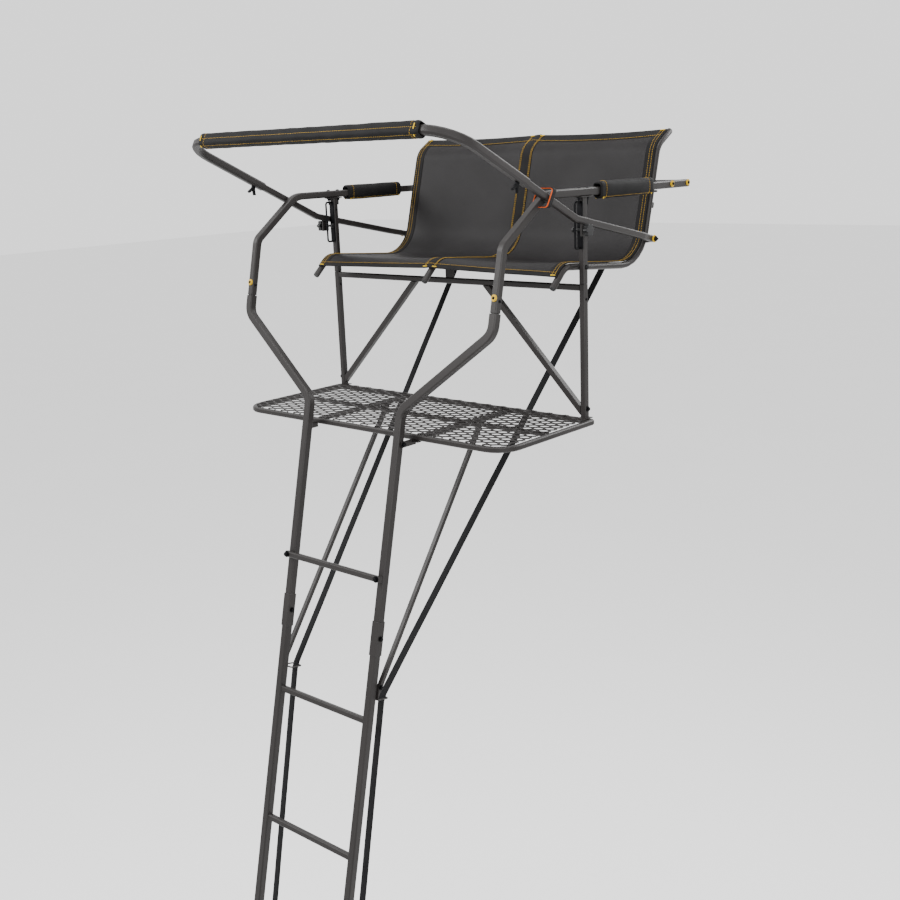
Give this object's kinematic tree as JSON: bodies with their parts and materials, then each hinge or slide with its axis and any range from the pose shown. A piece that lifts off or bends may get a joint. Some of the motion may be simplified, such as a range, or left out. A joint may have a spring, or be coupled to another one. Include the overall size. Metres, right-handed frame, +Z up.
{
  "type": "ladder tree stand",
  "caption": "Two-person ladder tree stand with sectional ladder, mesh platform, tipping sling seat, padded telescoping shooting rail, and strap-tightened jaws that grip the trunk.",
  "frame": {"origin": "centre of the bounding box at ground level, under the feet of the ladder", "axes": "+Z up along the height, +Y towards the tree, +X across the stand, to the right of someone facing the ladder"},
  "size_m": [1.1166, 2.2682, 4.7753],
  "materials": {
    "powder_coat": "dark grey-brown powder coat, satin",
    "zinc_plate": "bright zinc plate",
    "black_nylon": "black woven nylon with dull yellow stitching",
    "black_plastic": "moulded black nylon plastic",
    "black_oxide": "black oxide fasteners and brackets"
  },
  "bodies": {
    "stand": {"rail_left": "powder_coat", "rail_right": "powder_coat", "armrest_tube_left": "powder_coat", "armrest_tube_right": "powder_coat", "post_left": "powder_coat", "post_right": "powder_coat", "upper_post_left": "powder_coat", "upper_post_right": "powder_coat", "diagonal_left": "powder_coat", "diagonal_right": "powder_coat", "brace_left": "powder_coat", "brace_right": "powder_coat", "platform_bar_left": "powder_coat", "platform_bar_right": "powder_coat", "armrest_pad_left": "black_nylon", "armrest_pad_right": "black_nylon", "height_bracket_left": "black_oxide", "height_bracket_right": "black_oxide", "seat_pivot_bolt_left": "black_oxide", "seat_pivot_bolt_right": "black_oxide", "arm_pivot_bolt_left": "black_oxide", "arm_pivot_bolt_right": "black_oxide", "rest_bar_strut_left": "powder_coat", "rest_bar_strut_right": "powder_coat", "strap_guide_left": "powder_coat", "strap_guide_right": "powder_coat", "strap_left": "black_nylon", "strap_right": "black_nylon", "ratchet_frame_left": "zinc_plate", "ratchet_frame_right": "zinc_plate", "crossbar": "powder_coat", "top_rung": "powder_coat", "platform_frame": "powder_coat", "platform_cross_bar": "powder_coat", "platform_mesh": "powder_coat", "seat_rest_bar": "powder_coat", "tree_bar": "powder_coat", "tree_bracket": "powder_coat", "ladder_section_upper": "powder_coat", "ladder_section_middle": "powder_coat", "ladder_section_lower": "powder_coat"},
    "seat": {"seat_tube_left": "powder_coat", "seat_tube_middle": "powder_coat", "seat_tube_right": "powder_coat", "seat_sling": "black_nylon", "seat_cross_tube": "powder_coat"},
    "rail_arms": {"rail_arm_left": "powder_coat", "rail_arm_right": "powder_coat"},
    "shooting_rail": {"shooting_rail": "powder_coat", "rail_pad": "black_nylon"},
    "knob_left": {"height_knob_left": "black_plastic"},
    "lock_left": {"rail_lock_left": "black_oxide"},
    "jaw_left": {"jaw_left": "powder_coat"},
    "spool_left": {"ratchet_spool_left": "zinc_plate"},
    "handle_left": {"ratchet_handle_left": "zinc_plate"},
    "knob_right": {"height_knob_right": "black_plastic"},
    "lock_right": {"rail_lock_right": "black_oxide"},
    "jaw_right": {"jaw_right": "powder_coat"},
    "spool_right": {"ratchet_spool_right": "zinc_plate"},
    "handle_right": {"ratchet_handle_right": "zinc_plate"}
  },
  "joints": [
    {"name": "seat_tip", "type": "hinge", "parent": "stand", "child": "seat", "pos_m": [0, 0.29382, 4.3585], "axis": [1, 0, 0], "range_deg": [0, 27]},
    {"name": "arm_pitch", "type": "hinge", "parent": "stand", "child": "rail_arms", "pos_m": [0, 0.64782, 4.412], "axis": [-1, 0, 0], "range_deg": [-6, 4.5]},
    {"name": "rail_slide", "type": "slide", "parent": "rail_arms", "child": "shooting_rail", "axis": [0, -0.9018, 0.4321], "range_m": [-0.05, 0.1]},
    {"name": "knob_turn_left", "type": "hinge", "parent": "rail_arms", "child": "knob_left", "pos_m": [-0.5345, 0.26682, 4.4665], "axis": [1, 0, 0], "continuous": true},
    {"name": "lock_turn_left", "type": "hinge", "parent": "shooting_rail", "child": "lock_left", "pos_m": [-0.5345, -0.02918, 4.62408], "axis": [0, -0.4321, -0.9018], "continuous": true},
    {"name": "jaw_swing_left", "type": "hinge", "parent": "stand", "child": "jaw_left", "pos_m": [-0.4, 0.85082, 4.552], "axis": [0, 0, 1], "range_deg": [0, 40]},
    {"name": "spool_turn_left", "type": "hinge", "parent": "stand", "child": "spool_left", "pos_m": [-0.19, -0.6857, 1.3838], "axis": [1, 0, 0], "continuous": true},
    {"name": "handle_turn_left", "type": "hinge", "parent": "stand", "child": "handle_left", "pos_m": [-0.19, -0.6857, 1.3838], "axis": [-1, 0, 0], "range_deg": [0, 110]},
    {"name": "knob_turn_right", "type": "hinge", "parent": "rail_arms", "child": "knob_right", "pos_m": [0.5345, 0.26682, 4.4665], "axis": [1, 0, 0], "continuous": true},
    {"name": "lock_turn_right", "type": "hinge", "parent": "shooting_rail", "child": "lock_right", "pos_m": [0.5345, -0.02918, 4.62408], "axis": [0, -0.4321, -0.9018], "continuous": true},
    {"name": "jaw_swing_right", "type": "hinge", "parent": "stand", "child": "jaw_right", "pos_m": [0.4, 0.85082, 4.552], "axis": [0, 0, -1], "range_deg": [0, 40]},
    {"name": "spool_turn_right", "type": "hinge", "parent": "stand", "child": "spool_right", "pos_m": [0.19, -0.6857, 1.3838], "axis": [1, 0, 0], "continuous": true},
    {"name": "handle_turn_right", "type": "hinge", "parent": "stand", "child": "handle_right", "pos_m": [0.19, -0.6857, 1.3838], "axis": [-1, 0, 0], "range_deg": [0, 110]}
  ]
}
